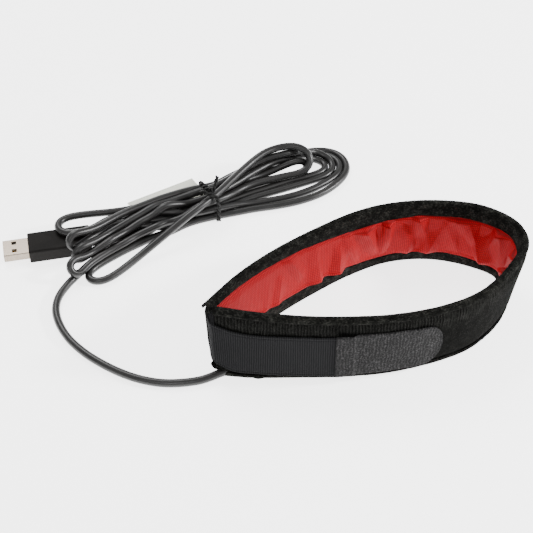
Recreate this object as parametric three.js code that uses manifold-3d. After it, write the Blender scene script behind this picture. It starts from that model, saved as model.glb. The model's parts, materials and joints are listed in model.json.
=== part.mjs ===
import * as THREE from "three";
import { mergeVertices } from "three/addons/utils/BufferGeometryUtils.js";
import Module from "manifold-3d";

const wasm = await Module();
wasm.setup();

// All sizes are in millimetres. X runs along the loop, Z is up, the strap is on the -Y side.
const GAP = 0.3;

// The strip stands on its lower edge. Heights run up from that edge, and "out" is the distance
// from the middle of the strip's thickness towards the outside of the loop.
const STRIP_HEIGHT = 38;
const STRIP_THICKNESS = 4.4;
const BINDING_THICKNESS = 0.6;
const OUTER_LEG = 2.8;
const INNER_LEG = 7.2;
const FABRIC_THICKNESS = 1.1;
const PRESSED_FABRIC = 0.5;
const LINING_THICKNESS = 0.4;
const FOAM_THICKNESS = 1.3;

// The loop's two plan lines, at the lower and at the upper edge: the front from the sharp end
// to the round end, then the back to the sharp end again. They are drawn for a loop of this
// length and width; another loop keeps its sharp end where the cable leaves it.
const DRAWN_LENGTH = 158;
const DRAWN_WIDTH = 74;
const LOOP_LENGTH = 158;
const LOOP_WIDTH = 74;
const SHARP_END = [-78, -8];
const LOWER_LINE = [
  [-77.1, -11.8], [-64.2, -17.4], [-43, -24.1], [-22, -30.2], [-2.2, -33.8], [19.2, -34.4],
  [40, -31.3], [59.3, -20.4], [71.4, -5.8], [74.2, 8.1], [64, 20.8], [46.5, 31.9],
  [26.1, 36.2], [6.5, 33.8], [-13.7, 27.9], [-39, 18], [-60, 6.5], [-78.6, -7.4],
];
const UPPER_LINE = [
  [-77.4, -4.9], [-62, -13.6], [-43, -22.4], [-22, -29.7], [-2.2, -34.6], [19.6, -36.4],
  [42.3, -33], [62.4, -21.6], [76.2, -8.2], [78.3, 5.5], [68, 21.6], [47.5, 32.4],
  [25.6, 37.1], [8.2, 36.6], [-14.5, 31], [-38.6, 22.7], [-59.1, 12.7], [-79.8, -1.4],
];

// Soft folds of the lining: distance along the strip, slant over the height, depth, width.
const FOLDS = [
  [62, 3, 0.7, 7], [92, -4, 0.9, 8], [121, 3, 0.8, 7], [150, 5, 1.1, 7], [172, -4, 1.2, 6],
  [189, 5, 1.3, 6], [200, 4, 1.5, 6], [212, 5, 1.5, 6], [224, 4, 1.6, 6], [237, 6, 1.6, 7],
  [250, 5, 1.4, 6], [262, 4, 1.5, 7], [276, 6, 1.3, 7], [291, 5, 1.1, 8], [306, 4, 0.7, 8],
];

const ELASTIC_WIDTH = 24.6;
const ELASTIC_THICKNESS = 1;
const ELASTIC_END = 61.5;
const ELASTIC_TAIL = 12;
const TAB_LENGTH = 42.1;
const TAB_WIDTH = 25.8;
const TAB_NOSE = 10.5;
const TAB_THICKNESS = 1.2;
const TAB_LAP = 7.3;

const WIRE_DIAMETER = 0.9;
const LEAD_WIRE_DIAMETER = 1;
const SLEEVE_DIAMETER = 1.7;
const SLEEVE_LENGTH = 8;

const CABLE_DIAMETER = 4;
// The cable's way over the floor, from the strip's sharp end to the hank.
const CABLE_ROUTE = [
  [-83, -13.8], [-88, -14.2], [-97.2, -12.9], [-105.5, -10.2], [-114.4, -4.9], [-122.3, 2.1],
  [-130, 11.2], [-135.7, 19.8], [-140.8, 30.9], [-143.2, 42.5], [-142.9, 52], [-140, 59.8],
  [-134, 67.3], [-127.5, 73],
];
const HANK_HEIGHT = 14;
const HANK_OUTLINE = [
  [-122, 61], [-105, 69], [-85, 79.5], [-66, 87], [-48, 88], [-25, 90], [-5, 89], [12, 90.5],
  [25, 97.5], [31.5, 106], [32.5, 116], [28, 127.5], [19, 134], [6, 131.5], [-12, 122.5],
  [-30, 112.5], [-47, 109.5], [-70, 108.5], [-92, 109], [-108, 111], [-122, 111], [-133, 107],
  [-136, 101], [-131.5, 93], [-131.5, 85], [-135, 76], [-135, 68], [-130, 62],
];
const TIE_DIAMETER = 1.5;
const TIE_X = -47.5;
const LABEL_LENGTH = 40;
const LABEL_WIDTH = 20;
const LABEL_THICKNESS = 0.5;
const LABEL_AT = [-69.3, 116.6];
const LABEL_TURN = 0.243;

const PLUG_AT = [-148.3, 97.9];
const PLUG_TURN = -0.096;
const GRIP_LENGTH = 32;
const GRIP_WIDTH = 15.5;
const GRIP_HEIGHT = 8;
const SHELL_WIDTH = 12;
const SHELL_HEIGHT = 4.5;
const SHELL_WALL = 0.35;
const SHELL_REACH = 12.8;
const SHELL_SEAT = 7;
const TONGUE_HEIGHT = 1.8;
const CONTACT_WIDTH = 1.1;
const CONTACT_PITCH = 2.25;

// Helpers

const toSolid = (geometry) => {
  const bare = new THREE.BufferGeometry();
  bare.setAttribute("position", geometry.getAttribute("position"));
  bare.setIndex(geometry.getIndex());
  const merged = mergeVertices(bare, 1e-4);
  return new wasm.Manifold(new wasm.Mesh({
    numProp: 3,
    vertProperties: new Float32Array(merged.attributes.position.array),
    triVerts: new Uint32Array(merged.index.array),
  }));
};

const toGeometry = (solid) => {
  const mesh = solid.getMesh();
  const geometry = new THREE.BufferGeometry();
  geometry.setAttribute("position", new THREE.BufferAttribute(mesh.vertProperties, 3));
  geometry.setIndex(new THREE.BufferAttribute(mesh.triVerts, 1));
  geometry.computeVertexNormals();
  return geometry;
};

const cut = (geometry, ...tools) => {
  const left = tools.reduce((rest, tool) => rest.subtract(toSolid(tool)), toSolid(geometry));
  return toGeometry(left);
};

// A closed body through rings of the same number of points, with flat ends. The second half of
// a ring is split the other way, so that the two faces of a thin sheet bend alike.
function loft(rings) {
  const count = rings[0].length;
  const points = rings.flat();
  const index = [];
  for (let i = 0; i + 1 < rings.length; i++) {
    for (let j = 0; j < count; j++) {
      const a = i * count + j;
      const b = i * count + ((j + 1) % count);
      const thin = j >= count / 2;
      index.push(a, b, thin ? a + count : b + count);
      index.push(thin ? b : a, b + count, a + count);
    }
  }
  for (const last of [false, true]) {
    const ring = last ? rings[rings.length - 1] : rings[0];
    const base = last ? points.length - count : 0;
    const across = ring[Math.floor(count / 2)].clone().sub(ring[0]);
    const along = rings[last ? rings.length - 1 : 1][0].clone()
      .sub(rings[last ? rings.length - 2 : 0][0]);
    const normal = along.normalize();
    const x = across.addScaledVector(normal, -across.dot(normal)).normalize();
    const y = normal.clone().cross(x);
    const flat = ring.map((p) => new THREE.Vector2(p.dot(x), p.dot(y)));
    const turned = THREE.ShapeUtils.area(flat) < 0;
    for (const [a, b, c] of THREE.ShapeUtils.triangulateShape(flat, [])) {
      const straight = [base + a, base + b, base + c];
      index.push(...(last === turned ? straight.reverse() : straight));
    }
  }
  const geometry = new THREE.BufferGeometry();
  const flat = points.flatMap((p) => p.toArray());
  geometry.setAttribute("position", new THREE.Float32BufferAttribute(flat, 3));
  geometry.setIndex(index);
  return facingOut(geometry);
}

function facingOut(geometry) {
  const p = geometry.getAttribute("position");
  const index = [...geometry.getIndex().array];
  const corner = [0, 1, 2].map(() => new THREE.Vector3());
  let volume = 0;
  for (let i = 0; i < index.length; i += 3) {
    corner.forEach((v, k) => v.fromBufferAttribute(p, index[i + k]));
    volume += corner[0].dot(corner[1].clone().cross(corner[2]));
  }
  if (volume < 0) geometry.setIndex(index.reverse());
  geometry.computeVertexNormals();
  return geometry;
}

const curveThrough = (points) => new THREE.CatmullRomCurve3(points, false, "centripetal");

function tube(points, diameter, steps, sides) {
  const section = new THREE.Shape(
    Array.from({ length: sides }, (_, i) => {
      const angle = (2 * Math.PI * i) / sides;
      return new THREE.Vector2(Math.cos(angle), Math.sin(angle)).multiplyScalar(diameter / 2);
    }),
  );
  return new THREE.ExtrudeGeometry(section, {
    steps,
    extrudePath: curveThrough(points),
  });
}

function roundedRectangle(width, height, radius, into = new THREE.Shape()) {
  const [x, y] = [width / 2, height / 2];
  into.moveTo(-x + radius, -y);
  into.lineTo(x - radius, -y);
  into.absarc(x - radius, -y + radius, radius, -Math.PI / 2, 0);
  into.lineTo(x, y - radius);
  into.absarc(x - radius, y - radius, radius, 0, Math.PI / 2);
  into.lineTo(-x + radius, y);
  into.absarc(-x + radius, y - radius, radius, Math.PI / 2, Math.PI);
  into.lineTo(-x, -y + radius);
  into.absarc(-x + radius, -y + radius, radius, Math.PI, 1.5 * Math.PI);
  return into;
}

const boxBetween = (low, high) => new THREE.BoxGeometry(
  high[0] - low[0], high[1] - low[1], high[2] - low[2],
).translate((low[0] + high[0]) / 2, (low[1] + high[1]) / 2, (low[2] + high[2]) / 2);

// The strip's own frame

const fitted = ([x, y]) => new THREE.Vector3(
  SHARP_END[0] + ((x - SHARP_END[0]) * LOOP_LENGTH) / DRAWN_LENGTH,
  SHARP_END[1] + ((y - SHARP_END[1]) * LOOP_WIDTH) / DRAWN_WIDTH,
  0,
);
const planCurve = (line) => curveThrough(line.map(fitted));
const lower = planCurve(LOWER_LINE);
const upper = planCurve(UPPER_LINE);
const middle = planCurve(
  LOWER_LINE.map(([x, y], i) => [(x + UPPER_LINE[i][0]) / 2, (y + UPPER_LINE[i][1]) / 2]),
);
middle.arcLengthDivisions = 800;
const STRIP_LENGTH = middle.getLength();

// A point of the strip: distance along it, height, and distance outwards. Past either end the
// strip goes straight on.
function onStrip(along, height, out) {
  const held = THREE.MathUtils.clamp(along, 0, STRIP_LENGTH);
  const t = middle.getUtoTmapping(held / STRIP_LENGTH);
  const p = lower.getPoint(t).lerp(upper.getPoint(t), height / STRIP_HEIGHT);
  const way = middle.getTangent(t);
  const past = along - held;
  return new THREE.Vector3(
    p.x + past * way.x + out * way.y,
    p.y + past * way.y - out * way.x,
    height,
  );
}

const spread = (from, to, count) => Array.from(
  { length: count + 1 },
  (_, i) => from + ((to - from) * i) / count,
);

// A layer of the strip: a closed outline of [height, out] points at each distance along it.
const layer = (from, to, count, outlineAt) => loft(
  spread(from, to, count).map((s) => outlineAt(s).map(([z, out]) => onStrip(s, z, out))),
);

// Bindings, fabric, foam and lining

const HALF = STRIP_THICKNESS / 2;
const INSIDE = HALF - BINDING_THICKNESS;

// Half circle of points over an edge, with a flat top so that the edge can stand.
function edgeArc(radius, segments) {
  return Array.from({ length: segments + 1 }, (_, i) => {
    const angle = (Math.PI * i) / segments;
    return [Math.sin(angle) * radius, Math.cos(angle) * radius];
  });
}

function bindingOutline() {
  const outside = edgeArc(HALF, 5);
  const inside = edgeArc(INSIDE, 3).reverse();
  const crown = Math.max(...outside.map(([rise]) => rise));
  const at = ([rise, out]) => [rise - crown, out];
  return [
    [-OUTER_LEG, HALF],
    ...outside.map(at),
    [-INNER_LEG, -HALF],
    [-INNER_LEG, -INSIDE],
    ...inside.map(at),
    [-OUTER_LEG, INSIDE],
  ];
}

const topBinding = layer(0, STRIP_LENGTH, 74, () => bindingOutline()
  .map(([z, out]) => [STRIP_HEIGHT + z, out]));
const bottomBinding = layer(0, STRIP_LENGTH, 74, () => bindingOutline()
  .map(([z, out]) => [-z, out]));

// Both cloth layers are pressed flat where the bindings hold them.
const SEAM_DEPTH = HALF + 0.4;
const pressedOuter = INSIDE - GAP;
const pressedInner = -INSIDE + GAP;
const fabricFace = HALF - 0.1;
const fabricBack = fabricFace - FABRIC_THICKNESS;
const fabricRise = OUTER_LEG + 2.6;
const [low, high] = [SEAM_DEPTH, STRIP_HEIGHT - SEAM_DEPTH];

const outerFabric = layer(0, STRIP_LENGTH, 92, () => [
  [low, pressedOuter],
  [OUTER_LEG + GAP, pressedOuter],
  [fabricRise, fabricFace],
  [STRIP_HEIGHT - fabricRise, fabricFace],
  [STRIP_HEIGHT - OUTER_LEG - GAP, pressedOuter],
  [high, pressedOuter],
  [high, pressedOuter - PRESSED_FABRIC],
  [STRIP_HEIGHT - OUTER_LEG - GAP, pressedOuter - PRESSED_FABRIC],
  [STRIP_HEIGHT - fabricRise - 0.6, fabricBack],
  [fabricRise + 0.6, fabricBack],
  [OUTER_LEG + GAP, pressedOuter - PRESSED_FABRIC],
  [low, pressedOuter - PRESSED_FABRIC],
]);

const WIRING_BAY = 27;
const foamFace = fabricBack - GAP;
const foamCore = layer(WIRING_BAY, STRIP_LENGTH - ELASTIC_TAIL - 2, 60, () => [
  [fabricRise + 2, foamFace],
  [STRIP_HEIGHT - fabricRise - 2, foamFace],
  [STRIP_HEIGHT - fabricRise - 2, foamFace - FOAM_THICKNESS],
  [fabricRise + 2, foamFace - FOAM_THICKNESS],
]);

// The heating wire lies between the foam and the lining.
const wireOut = foamFace - FOAM_THICKNESS - GAP - WIRE_DIAMETER / 2;

const bulge = (x) => (Math.abs(x) < 1 ? 0.5 + 0.5 * Math.cos(Math.PI * x) : 0);
const LINING_BELLY = 0.4;
const foldDepth = (s, z) => FOLDS.reduce((sum, [at, slant, depth, width]) => {
  const lean = slant * (z / STRIP_HEIGHT - 0.5);
  return sum + depth * bulge((2 * (s - at - lean)) / width);
}, LINING_BELLY * bulge((2 * z) / STRIP_HEIGHT - 1));

const liningRest = wireOut - WIRE_DIAMETER / 2 - GAP - LINING_THICKNESS;
const liningRise = INNER_LEG + GAP;
const liningHeights = spread(liningRise + 1, STRIP_HEIGHT - liningRise - 1, 4);

function liningOutline(s) {
  const face = [
    [low, pressedInner],
    [liningRise - 0.2, pressedInner],
    ...liningHeights.map((z) => [z, liningRest - foldDepth(s, z)]),
    [STRIP_HEIGHT - liningRise + 0.2, pressedInner],
    [high, pressedInner],
  ];
  return [...face, ...face.map(([z, out]) => [z, out + LINING_THICKNESS]).reverse()];
}

const lining = layer(0, STRIP_LENGTH, 104, liningOutline);

// Heating wire, its sleeves and the two lead wires

const WIRE_ROWS = [STRIP_HEIGHT / 2 - 7, STRIP_HEIGHT / 2 + 7];
const wireStart = WIRING_BAY - 3;
const wireTurn = STRIP_LENGTH - ELASTIC_TAIL - 8;
const wirePoints = [
  ...spread(wireStart, wireTurn, 66).map((s) => onStrip(s, WIRE_ROWS[0], wireOut)),
  onStrip(wireTurn + 4, (WIRE_ROWS[0] + WIRE_ROWS[1]) / 2, wireOut),
  ...spread(wireTurn, wireStart, 66).map((s) => onStrip(s, WIRE_ROWS[1], wireOut)),
];
const heatingWire = tube(wirePoints, WIRE_DIAMETER, 124, 5);

const sleeveAt = (height) => tube(
  [0, 0.5, 1].map((k) => onStrip(
    wireStart - GAP - k * SLEEVE_LENGTH, height, wireOut + 0.4,
  )),
  SLEEVE_DIAMETER,
  3,
  8,
);
const sleeveEnd = wireStart - 2 * GAP - SLEEVE_LENGTH;
const leadWire = (height, entry) => tube(
  [
    onStrip(0.4, entry, 0),
    onStrip(4, entry, 0),
    onStrip(9, (entry + height) / 2, 0),
    onStrip(sleeveEnd - 2.4, height, wireOut + 0.4),
    onStrip(sleeveEnd, height, wireOut + 0.4),
  ],
  LEAD_WIRE_DIAMETER,
  14,
  6,
);

// Elastic strap and hook tab

// The strap leaves the strip's far end, turns round the sharp end and lies on the front.
const strapOut = HALF + GAP + ELASTIC_THICKNESS / 2;
const strapBase = (STRIP_HEIGHT - ELASTIC_WIDTH) / 2 - 3.1;
const strapLow = (s) => strapBase + 4 * Math.exp(-Math.max(s, 0) / 7);
function strapEdge(rise) {
  const z = (s) => strapLow(s) + rise;
  return curveThrough([
    onStrip(STRIP_LENGTH - ELASTIC_TAIL, z(0), -0.1),
    onStrip(STRIP_LENGTH - 5, z(0), -0.1),
    onStrip(STRIP_LENGTH + 0.5, z(0), -0.1),
    onStrip(-3.1, z(0), -0.3),
    onStrip(-2.3, z(0), 1.5),
    onStrip(-0.9, z(0), strapOut),
    onStrip(1.2, z(1.2), strapOut + 0.3),
    ...spread(4, ELASTIC_END, 12).map((s) => onStrip(s, z(s), strapOut)),
  ]);
}

// A flat band between two edge curves, with its thickness level.
function bandBetween(lowEdge, highEdge, count, thicknessHalf) {
  return loft(spread(0, 1, count).map((u) => {
    const [a, b] = [lowEdge.getPoint(u), highEdge.getPoint(u)];
    const way = lowEdge.getTangent(u).add(highEdge.getTangent(u)).setZ(0).normalize();
    const side = new THREE.Vector3(way.y, -way.x, 0).multiplyScalar(thicknessHalf);
    return [
      a.clone().add(side),
      b.clone().add(side),
      b.clone().sub(side),
      a.clone().sub(side),
    ];
  }));
}

const elasticStrap = bandBetween(
  strapEdge(0), strapEdge(ELASTIC_WIDTH), 60, ELASTIC_THICKNESS / 2,
);

// The tab laps over the strap's end, steps down onto the fabric and ends in a round nose.
const tabStart = ELASTIC_END - TAB_LAP;
const noseStart = TAB_LAP + TAB_LENGTH - TAB_NOSE;
const tabStations = [
  ...[0, TAB_LAP / 2, TAB_LAP + 0.4, TAB_LAP + 2.4],
  ...spread(TAB_LAP + 5, noseStart, 7),
  ...spread(0.12, 0.96, 8).map((k) => noseStart + TAB_NOSE * Math.sin(k * 1.45)),
];
const tabRest = HALF + GAP + TAB_THICKNESS / 2;
const tabLift = (d) => (ELASTIC_THICKNESS + GAP)
  * (1 - THREE.MathUtils.smoothstep(d, TAB_LAP + 0.4, TAB_LAP + 2.6));
const hookTab = loft(tabStations.map((d) => {
  const past = Math.max(0, d - noseStart) / TAB_NOSE;
  const half = (TAB_WIDTH / 2) * (1 - past ** 2.3) ** (1 / 2.3);
  const mid = strapLow(ELASTIC_END) + ELASTIC_WIDTH / 2 + 1.2;
  const out = tabRest + tabLift(d);
  const s = tabStart + d;
  return [
    onStrip(s, mid - half, out + TAB_THICKNESS / 2),
    onStrip(s, mid + half, out + TAB_THICKNESS / 2),
    onStrip(s, mid + half, out - TAB_THICKNESS / 2),
    onStrip(s, mid - half, out - TAB_THICKNESS / 2),
  ];
}));

// Cable, hank, tie and label

const cableHeight = CABLE_DIAMETER / 2;
const corner = onStrip(0, cableHeight, HALF);
const exit = new THREE.Vector3(corner.x - GAP - 0.1, corner.y + 0.5, cableHeight);
const cablePoints = [
  exit,
  ...CABLE_ROUTE.map(([x, y]) => new THREE.Vector3(x, y, cableHeight)),
];
const cableLead = tube(cablePoints, CABLE_DIAMETER, 24, 10);

// The same way again, a little wider and longer: the room that the hank leaves for the cable.
const lastStep = cablePoints.at(-1).clone().sub(cablePoints.at(-2)).setLength(GAP);
const cableRoom = tube(
  [...cablePoints.slice(-5), cablePoints.at(-1).clone().add(lastStep)],
  CABLE_DIAMETER + 2 * GAP,
  8,
  10,
);

const hankCurve = new THREE.CatmullRomCurve3(
  HANK_OUTLINE.map(([x, y]) => new THREE.Vector3(x, y, 0)), true, "centripetal",
);
const hankShape = new THREE.Shape(
  hankCurve.getPoints(56).slice(0, -1).map((p) => new THREE.Vector2(p.x, p.y)),
);
const hankBlock = new THREE.ExtrudeGeometry(hankShape, {
  depth: HANK_HEIGHT - 4,
  bevelEnabled: true,
  bevelThickness: 2,
  bevelSize: 2,
  bevelOffset: -2,
  bevelSegments: 2,
}).translate(0, 0, 2);

// The tie runs once round the hank's waist, and its two ends are twisted together on top.
const tieLow = TIE_DIAMETER / 2 + 2 * GAP;
const tieHigh = HANK_HEIGHT + GAP + TIE_DIAMETER / 2;
const waistY = [88, 109.5].map((y, i) => y + (i ? 1 : -1) * (GAP + TIE_DIAMETER / 2));
const tieMiddle = (waistY[0] + waistY[1]) / 2;
const tieKnotY = tieMiddle + 5;
const tailOf = (phase) => spread(0, 1, 7).map((k) => {
  const angle = phase + k * 2.6 * Math.PI;
  return new THREE.Vector3(
    TIE_X + 5 * k + 1 * Math.cos(angle),
    tieKnotY + 4 * k + 1 * Math.sin(angle),
    tieHigh + 0.6 + 7 * k,
  );
});
const tiePoints = [
  ...tailOf(Math.PI).reverse(),
  new THREE.Vector3(TIE_X - 0.4, tieMiddle - 3, tieHigh),
  new THREE.Vector3(TIE_X - 0.2, waistY[0] + 3, tieHigh - 0.2),
  new THREE.Vector3(TIE_X, waistY[0], tieHigh - 3.5),
  new THREE.Vector3(TIE_X, waistY[0], tieLow + 3),
  new THREE.Vector3(TIE_X, waistY[0] + 3, tieLow),
  new THREE.Vector3(TIE_X, tieMiddle, tieLow),
  new THREE.Vector3(TIE_X, waistY[1] - 3, tieLow),
  new THREE.Vector3(TIE_X, waistY[1], tieLow + 3),
  new THREE.Vector3(TIE_X, waistY[1], tieHigh - 3.5),
  new THREE.Vector3(TIE_X + 0.2, waistY[1] - 2.2, tieHigh - 0.2),
  ...tailOf(0),
];
const twistTie = tube(tiePoints, TIE_DIAMETER, 76, 5);
const tieRoom = tube(tiePoints.slice(8, 18), TIE_DIAMETER + 2 * GAP, 24, 6);

const labelPlate = (grow) => boxBetween(
  [-LABEL_LENGTH / 2 - grow, -LABEL_WIDTH / 2 - grow, -grow],
  [LABEL_LENGTH / 2 + grow, LABEL_WIDTH / 2 + grow, LABEL_THICKNESS + grow],
).rotateZ(LABEL_TURN).translate(...LABEL_AT, 0.05);
const cableLabel = labelPlate(0);

// Plug, modelled with the grip's front face at X = 0 and then laid in place

const plugMiddle = GRIP_HEIGHT / 2;
const acrossPlug = (shape, from, to, bevel = 0) => new THREE.ExtrudeGeometry(shape, {
  depth: to - from - 2 * bevel,
  bevelEnabled: bevel > 0,
  bevelThickness: bevel,
  bevelSize: bevel,
  bevelOffset: -bevel,
  bevelSegments: 2,
  curveSegments: 4,
}).translate(0, 0, from + bevel).applyMatrix4(new THREE.Matrix4().makeBasis(
  new THREE.Vector3(0, 1, 0), new THREE.Vector3(0, 0, 1), new THREE.Vector3(1, 0, 0),
)).translate(0, 0, plugMiddle);

const grip = (grow) => acrossPlug(
  roundedRectangle(GRIP_WIDTH + 2 * grow, GRIP_HEIGHT + 2 * grow, 1.2 + grow),
  -grow,
  GRIP_LENGTH + grow,
  grow ? 0 : 0.6,
);
const shellRoom = acrossPlug(
  roundedRectangle(SHELL_WIDTH + 2 * GAP, SHELL_HEIGHT + 2 * GAP, 0.8), -2, SHELL_SEAT + GAP,
);
const usbGrip = cut(grip(0), shellRoom);

const shellInside = [SHELL_WIDTH - 2 * SHELL_WALL, SHELL_HEIGHT - 2 * SHELL_WALL];
const shellShape = roundedRectangle(SHELL_WIDTH, SHELL_HEIGHT, 0.6);
shellShape.holes.push(roundedRectangle(...shellInside, 0.3, new THREE.Path()));
const latchHole = (side) => boxBetween(
  [-SHELL_REACH + 4.4, side * 2.9 - 1.15, -1],
  [-SHELL_REACH + 6.9, side * 2.9 + 1.15, GRIP_HEIGHT + 1],
);
const usbShell = cut(
  acrossPlug(shellShape, -SHELL_REACH, SHELL_SEAT), latchHole(-1), latchHole(1),
);

const tongueLow = plugMiddle - shellInside[1] / 2 + GAP;
const usbTongue = boxBetween(
  [-SHELL_REACH + 1.2, -shellInside[0] / 2 + GAP, tongueLow],
  [SHELL_SEAT, shellInside[0] / 2 - GAP, tongueLow + TONGUE_HEIGHT - 0.6],
);
const contactLow = tongueLow + TONGUE_HEIGHT - 0.6 + GAP;
const contactAt = (i) => boxBetween(
  [-SHELL_REACH + 2, (i - 1.5) * CONTACT_PITCH - CONTACT_WIDTH / 2, contactLow],
  [-SHELL_REACH + 10.5, (i - 1.5) * CONTACT_PITCH + CONTACT_WIDTH / 2, contactLow + 0.3],
);

const laid = (geometry) => geometry.rotateZ(PLUG_TURN).translate(...PLUG_AT, 0);

const cableHank = cut(hankBlock, cableRoom, tieRoom, labelPlate(GAP), laid(grip(GAP)));

// The part

const cloth = { roughness: 0.95, metalness: 0 };
const group = new THREE.Group();
group.name = "dew_heater_strip";
function add(name, geometry, color, surface = { roughness: 0.5, metalness: 0 }) {
  const material = new THREE.MeshStandardMaterial({ color, ...surface });
  const mesh = new THREE.Mesh(geometry, material);
  mesh.name = name;
  group.add(mesh);
  return mesh;
}

add("outer_fabric", outerFabric, 0x1f1f1d, cloth);
add("foam_core", foamCore, 0x8d8d88, cloth);
add("lining", lining, 0xc8202a, { roughness: 0.7, metalness: 0 });
add("top_binding", topBinding, 0x22221f, cloth);
add("bottom_binding", bottomBinding, 0x22221f, cloth);
add("elastic_strap", elasticStrap, 0x37373a, cloth);
add("hook_tab", hookTab, 0x4a4848, cloth);
add("heating_wire", heatingWire, 0x9a3324);
[0, 1].forEach((i) => {
  const name = i ? "b" : "a";
  add("lead_wire_" + name, leadWire(WIRE_ROWS[i], 3 + i * 1.5), i ? 0x151515 : 0xb02020);
  add("crimp_sleeve_" + name, sleeveAt(WIRE_ROWS[i]), 0xb8b8b4, { roughness: 0.4, metalness: 0.8 });
});
const strip = new THREE.Box3().setFromObject(group);
add("cable_lead", cableLead, 0x2c2b2b);
add("cable_hank", cableHank, 0x2c2b2b);
add("twist_tie", twistTie, 0x1a1a1a);
add("cable_label", cableLabel, 0xdfe0d6, { roughness: 0.8, metalness: 0 });
add("usb_grip", laid(usbGrip), 0x2a2826);
add("usb_shell", laid(usbShell), 0xc8c2b4, { roughness: 0.25, metalness: 1 });
add("usb_tongue", laid(usbTongue), 0xe8e8e4);
[0, 1, 2, 3].forEach((i) => {
  add("usb_contact_" + (i + 1), laid(contactAt(i)), 0xd4af5a, { roughness: 0.25, metalness: 1 });
});

// The origin is under the middle of the strip's own box.
const shift = strip.getCenter(new THREE.Vector3());
group.children.forEach((mesh) => mesh.geometry.translate(-shift.x, -shift.y, 0));

export default group;
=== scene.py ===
import json
import math

import bpy
import numpy as np
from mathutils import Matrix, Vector


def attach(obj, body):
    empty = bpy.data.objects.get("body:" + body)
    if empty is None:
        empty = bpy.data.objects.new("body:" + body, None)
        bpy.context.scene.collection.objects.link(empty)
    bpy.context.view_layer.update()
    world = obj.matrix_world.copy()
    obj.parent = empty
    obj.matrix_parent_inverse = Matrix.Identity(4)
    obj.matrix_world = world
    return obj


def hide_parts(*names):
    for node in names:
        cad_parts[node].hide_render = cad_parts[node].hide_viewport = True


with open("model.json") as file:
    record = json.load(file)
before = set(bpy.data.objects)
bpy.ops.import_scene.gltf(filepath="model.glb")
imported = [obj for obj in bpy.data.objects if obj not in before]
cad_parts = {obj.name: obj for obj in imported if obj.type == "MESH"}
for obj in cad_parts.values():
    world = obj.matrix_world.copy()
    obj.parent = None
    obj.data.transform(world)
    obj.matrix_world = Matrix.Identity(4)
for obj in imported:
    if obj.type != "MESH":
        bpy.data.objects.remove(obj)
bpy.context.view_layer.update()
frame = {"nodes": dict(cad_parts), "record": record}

MM = 0.001
# The plan lines and the hank are drawn in mm from a point this far from the row's origin.
DRAWN_FROM = np.array([0.2387, 0.1047, 0.0])


# Camera

CAMERA_AT = (-0.1705, -0.3730, 0.4230)
CAMERA_AZIMUTH = -17.8
CAMERA_ELEVATION = 43.5
CAMERA_LENS = 81.05


def place_camera():
    data = bpy.data.cameras.new("camera")
    camera = bpy.data.objects.new("camera", data)
    bpy.context.scene.collection.objects.link(camera)
    azimuth, elevation = math.radians(CAMERA_AZIMUTH), math.radians(CAMERA_ELEVATION)
    back = Vector((
        math.sin(azimuth) * math.cos(elevation),
        -math.cos(azimuth) * math.cos(elevation),
        math.sin(elevation),
    ))
    camera.location = CAMERA_AT
    camera.rotation_mode = "QUATERNION"
    camera.rotation_quaternion = back.to_track_quat("Z", "Y")
    data.sensor_width = 36
    data.lens = CAMERA_LENS
    data.clip_start, data.clip_end = 0.01, 20
    bpy.context.scene.camera = camera


place_camera()


# Lines and meshes

def catmull(points, step):
    """A smooth line through the points, and where each of its own points lies among them."""
    points = np.asarray(points, float)
    q = np.vstack([2 * points[0] - points[1], points, 2 * points[-1] - points[-2]])
    gaps = np.linalg.norm(np.diff(q, axis=0), axis=1)
    t = np.concatenate([[0], np.cumsum(gaps ** 0.5)])
    line, at = [], []
    for i in range(1, len(q) - 2):
        count = max(2, int(gaps[i] / step) + 1)
        for u in np.linspace(t[i], t[i + 1], count, endpoint=False):
            a1 = q[i - 1] + (u - t[i - 1]) / (t[i] - t[i - 1]) * (q[i] - q[i - 1])
            a2 = q[i] + (u - t[i]) / (t[i + 1] - t[i]) * (q[i + 1] - q[i])
            a3 = q[i + 1] + (u - t[i + 1]) / (t[i + 2] - t[i + 1]) * (q[i + 2] - q[i + 1])
            b1 = a1 + (u - t[i - 1]) / (t[i + 1] - t[i - 1]) * (a2 - a1)
            b2 = a2 + (u - t[i]) / (t[i + 2] - t[i]) * (a3 - a2)
            line.append(b1 + (u - t[i]) / (t[i + 1] - t[i]) * (b2 - b1))
            at.append(i - 1 + (u - t[i]) / (t[i + 1] - t[i]))
    line.append(points[-1])
    at.append(len(points) - 1)
    return np.array(line), np.array(at)


def lengths(line):
    return np.concatenate([[0], np.cumsum(np.linalg.norm(np.diff(line, axis=0), axis=1))])


def even(line, step):
    s = lengths(line)
    u = np.linspace(0, s[-1], int(round(s[-1] / step)) + 1)
    return np.column_stack([np.interp(u, s, line[:, k]) for k in range(line.shape[1])])


def spread(low, high, count):
    return np.linspace(low, high, count + 1)


def bulge(x):
    return np.where(np.abs(x) < 1, 0.5 + 0.5 * np.cos(math.pi * x), 0)


def smooth_noise(shape, cells, rng):
    """Soft random values from -1 to 1 on a grid, with about so many cells on each side."""
    out = rng.uniform(-1, 1, [c + 3 for c in cells])
    for axis, (size, c) in enumerate(zip(shape, cells)):
        x = np.linspace(0, c, size) + 1
        i = np.clip(x.astype(int), 1, c + 1)
        f = x - i
        f = (f * f * (3 - 2 * f)).reshape([-1 if k == axis else 1 for k in range(len(shape))])
        out = np.take(out, i, axis) * (1 - f) + np.take(out, np.minimum(i + 1, c + 2), axis) * f
    return out


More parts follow.
